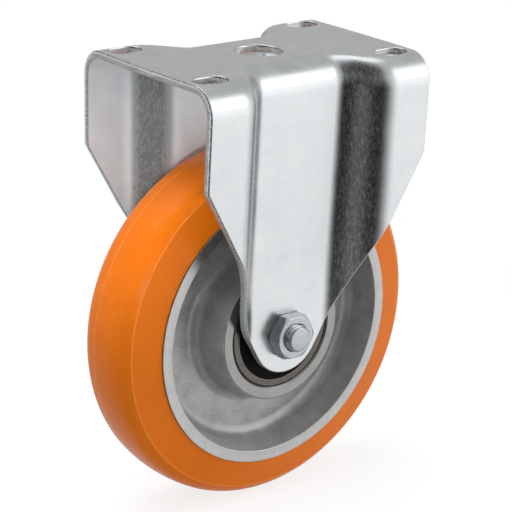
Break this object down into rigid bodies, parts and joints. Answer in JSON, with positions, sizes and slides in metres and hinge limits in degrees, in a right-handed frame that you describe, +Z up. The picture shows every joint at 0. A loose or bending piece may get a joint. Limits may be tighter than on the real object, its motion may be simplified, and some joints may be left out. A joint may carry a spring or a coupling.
{
  "type": "fixed castor",
  "caption": "Fixed castor: pressed steel bracket with a slotted mounting plate, crowned polyurethane tread on a cast aluminium core, and sealed ball bearings on a clamped axle.",
  "frame": {"origin": "centre of the mounting plate's top face, which is also the centre of its slots and centre hole", "axes": "+Z up, out of the plate's top face; +X is the rolling direction; +Y is along the axle, away from the nut and towards the bolt's head"},
  "size_m": [0.16, 0.0894, 0.2],
  "materials": {
    "bracket_zinc": "bright zinc plating, satin",
    "fastener_zinc": "bluish zinc plating",
    "turned_steel": "fine turned",
    "cast_aluminium": "sand cast, machined on the rim and hub faces",
    "orange_polyurethane": "glossy moulded",
    "bearing_steel": "ground",
    "seal_rubber": "matt moulded",
    "cage_steel": "pressed",
    "ball_steel": "polished"
  },
  "bodies": {
    "fork": {"fork_bracket": "bracket_zinc", "axle_bolt": "fastener_zinc", "axle_nut": "fastener_zinc", "axle_tube": "turned_steel", "bearing_spacer": "turned_steel", "near_bush": "turned_steel", "far_bush": "turned_steel", "near_inner_ring": "bearing_steel", "far_inner_ring": "bearing_steel"},
    "wheel": {"wheel_core": "cast_aluminium", "tread": "orange_polyurethane", "near_outer_ring": "bearing_steel", "near_outboard_seal": "seal_rubber", "near_inboard_seal": "seal_rubber", "far_outer_ring": "bearing_steel", "far_outboard_seal": "seal_rubber", "far_inboard_seal": "seal_rubber"},
    "near_cage": {"near_cage_outboard_half": "cage_steel", "near_cage_inboard_half": "cage_steel", "near_cage_rivets": "cage_steel", "near_ball_1": "ball_steel", "near_ball_2": "ball_steel", "near_ball_3": "ball_steel", "near_ball_4": "ball_steel", "near_ball_5": "ball_steel", "near_ball_6": "ball_steel", "near_ball_7": "ball_steel", "near_ball_8": "ball_steel", "near_ball_9": "ball_steel"},
    "far_cage": {"far_cage_outboard_half": "cage_steel", "far_cage_inboard_half": "cage_steel", "far_cage_rivets": "cage_steel", "far_ball_1": "ball_steel", "far_ball_2": "ball_steel", "far_ball_3": "ball_steel", "far_ball_4": "ball_steel", "far_ball_5": "ball_steel", "far_ball_6": "ball_steel", "far_ball_7": "ball_steel", "far_ball_8": "ball_steel", "far_ball_9": "ball_steel"}
  },
  "joints": [
    {"name": "wheel_spin", "type": "hinge", "parent": "fork", "child": "wheel", "pos_m": [0, 0, -0.12], "axis": [0, 1, 0], "continuous": true},
    {"name": "near_cage_spin", "type": "hinge", "parent": "fork", "child": "near_cage", "pos_m": [0, 0, -0.12], "axis": [0, 1, 0], "continuous": true},
    {"name": "far_cage_spin", "type": "hinge", "parent": "fork", "child": "far_cage", "pos_m": [0, 0, -0.12], "axis": [0, 1, 0], "continuous": true}
  ],
  "couplings": [
    {"joint": "near_cage_spin", "follows": "wheel_spin", "ratio": 0.6031},
    {"joint": "far_cage_spin", "follows": "wheel_spin", "ratio": 0.6031}
  ]
}
